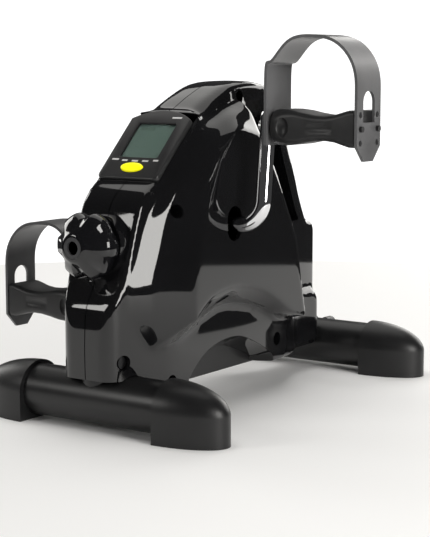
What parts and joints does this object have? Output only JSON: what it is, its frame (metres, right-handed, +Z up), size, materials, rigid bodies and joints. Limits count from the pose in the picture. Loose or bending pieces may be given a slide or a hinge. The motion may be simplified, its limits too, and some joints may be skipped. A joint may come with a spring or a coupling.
{
  "type": "pedal exerciser",
  "caption": "Floor-standing pedal exerciser with a glossy split housing, bent crank rod, strapped pedals, resistance knob and tilted display.",
  "frame": {"origin": "on the floor at the centre of the overall box", "axes": "+Z up, -Y towards the knob and console end, +X to the right-hand pedal when seen from the knob end"},
  "size_m": [0.294, 0.318, 0.2582],
  "materials": {
    "gloss_housing": "high gloss black",
    "black_paint": "satin black",
    "soft_cap": "matt black",
    "chrome_rod": "polished",
    "bright_steel": "zinc plated",
    "grey_iron": "machined",
    "matt_pedal": "fine texture",
    "grey_strap": "smooth soft plastic",
    "console_black": "semi-matt",
    "clear_lens": "clear",
    "display_grey": "grey-green",
    "yellow_button": "semi-gloss yellow",
    "green_board": "solder resist",
    "band_felt": "woven",
    "gloss_knob": "high gloss black",
    "grey_ring": "satin grey"
  },
  "bodies": {
    "base": {"band_anchor_pin": "bright_steel", "battery_door": "console_black", "bearing_frame": "black_paint", "brake_band": "band_felt", "button_cell": "bright_steel", "circuit_board": "green_board", "console_bezel": "console_black", "console_case": "console_black", "cover_screws": "bright_steel", "display_lens": "clear_lens", "display_panel": "display_grey", "frame_screws": "bright_steel", "front_left_cap": "soft_cap", "front_right_cap": "soft_cap", "front_stabiliser": "black_paint", "front_upright": "black_paint", "left_bearing": "bright_steel", "left_cover": "gloss_housing", "main_beam": "black_paint", "rear_left_cap": "soft_cap", "rear_right_cap": "soft_cap", "rear_stabiliser": "black_paint", "right_bearing": "bright_steel", "right_cover": "gloss_housing", "speed_sensor": "console_black", "stabiliser_bolts": "bright_steel", "tension_bracket": "black_paint"},
    "crank": {"crank_shaft": "chrome_rod", "flywheel": "grey_iron", "speed_magnet": "bright_steel", "right_spindle": "bright_steel", "left_spindle": "bright_steel", "right_spindle_nut": "bright_steel", "left_spindle_nut": "bright_steel"},
    "right_pedal_unit": {"right_pedal": "matt_pedal", "right_end_cap": "matt_pedal", "right_strap": "grey_strap"},
    "left_pedal_unit": {"left_pedal": "matt_pedal", "left_end_cap": "matt_pedal", "left_strap": "grey_strap"},
    "knob": {"tension_knob": "gloss_knob", "knob_ring": "grey_ring", "tension_screw": "bright_steel", "screw_collar": "bright_steel"},
    "nut": {"tension_nut": "bright_steel", "tension_spring": "bright_steel"},
    "button": {"mode_button": "yellow_button"}
  },
  "joints": [
    {"name": "crank_spin", "type": "hinge", "parent": "base", "child": "crank", "pos_m": [0, -0.04175, 0.131], "axis": [1, 0, 0], "continuous": true},
    {"name": "right_pedal_spin", "type": "hinge", "parent": "crank", "child": "right_pedal_unit", "pos_m": [0.11, -0.03475, 0.19763], "axis": [1, 0, 0], "continuous": true},
    {"name": "left_pedal_spin", "type": "hinge", "parent": "crank", "child": "left_pedal_unit", "pos_m": [-0.11, -0.04875, 0.06437], "axis": [1, 0, 0], "continuous": true},
    {"name": "knob_turn", "type": "hinge", "parent": "base", "child": "knob", "pos_m": [0, -0.14575, 0.1225], "axis": [0, 1, 0], "range_deg": [0, 1080]},
    {"name": "nut_slide", "type": "slide", "parent": "base", "child": "nut", "axis": [0, -1, 0], "range_m": [0, 0.00375], "deforming": ["tension_spring"]},
    {"name": "button_press", "type": "slide", "parent": "base", "child": "button", "axis": [0, 0.6947, -0.7193], "range_m": [0, 0.0008], "stiffness_N_per_m": 400, "springref_m": -0.0002}
  ],
  "couplings": [
    {"joint": "nut_slide", "follows": "knob_turn", "m_per_rad": 0.00019894}
  ]
}
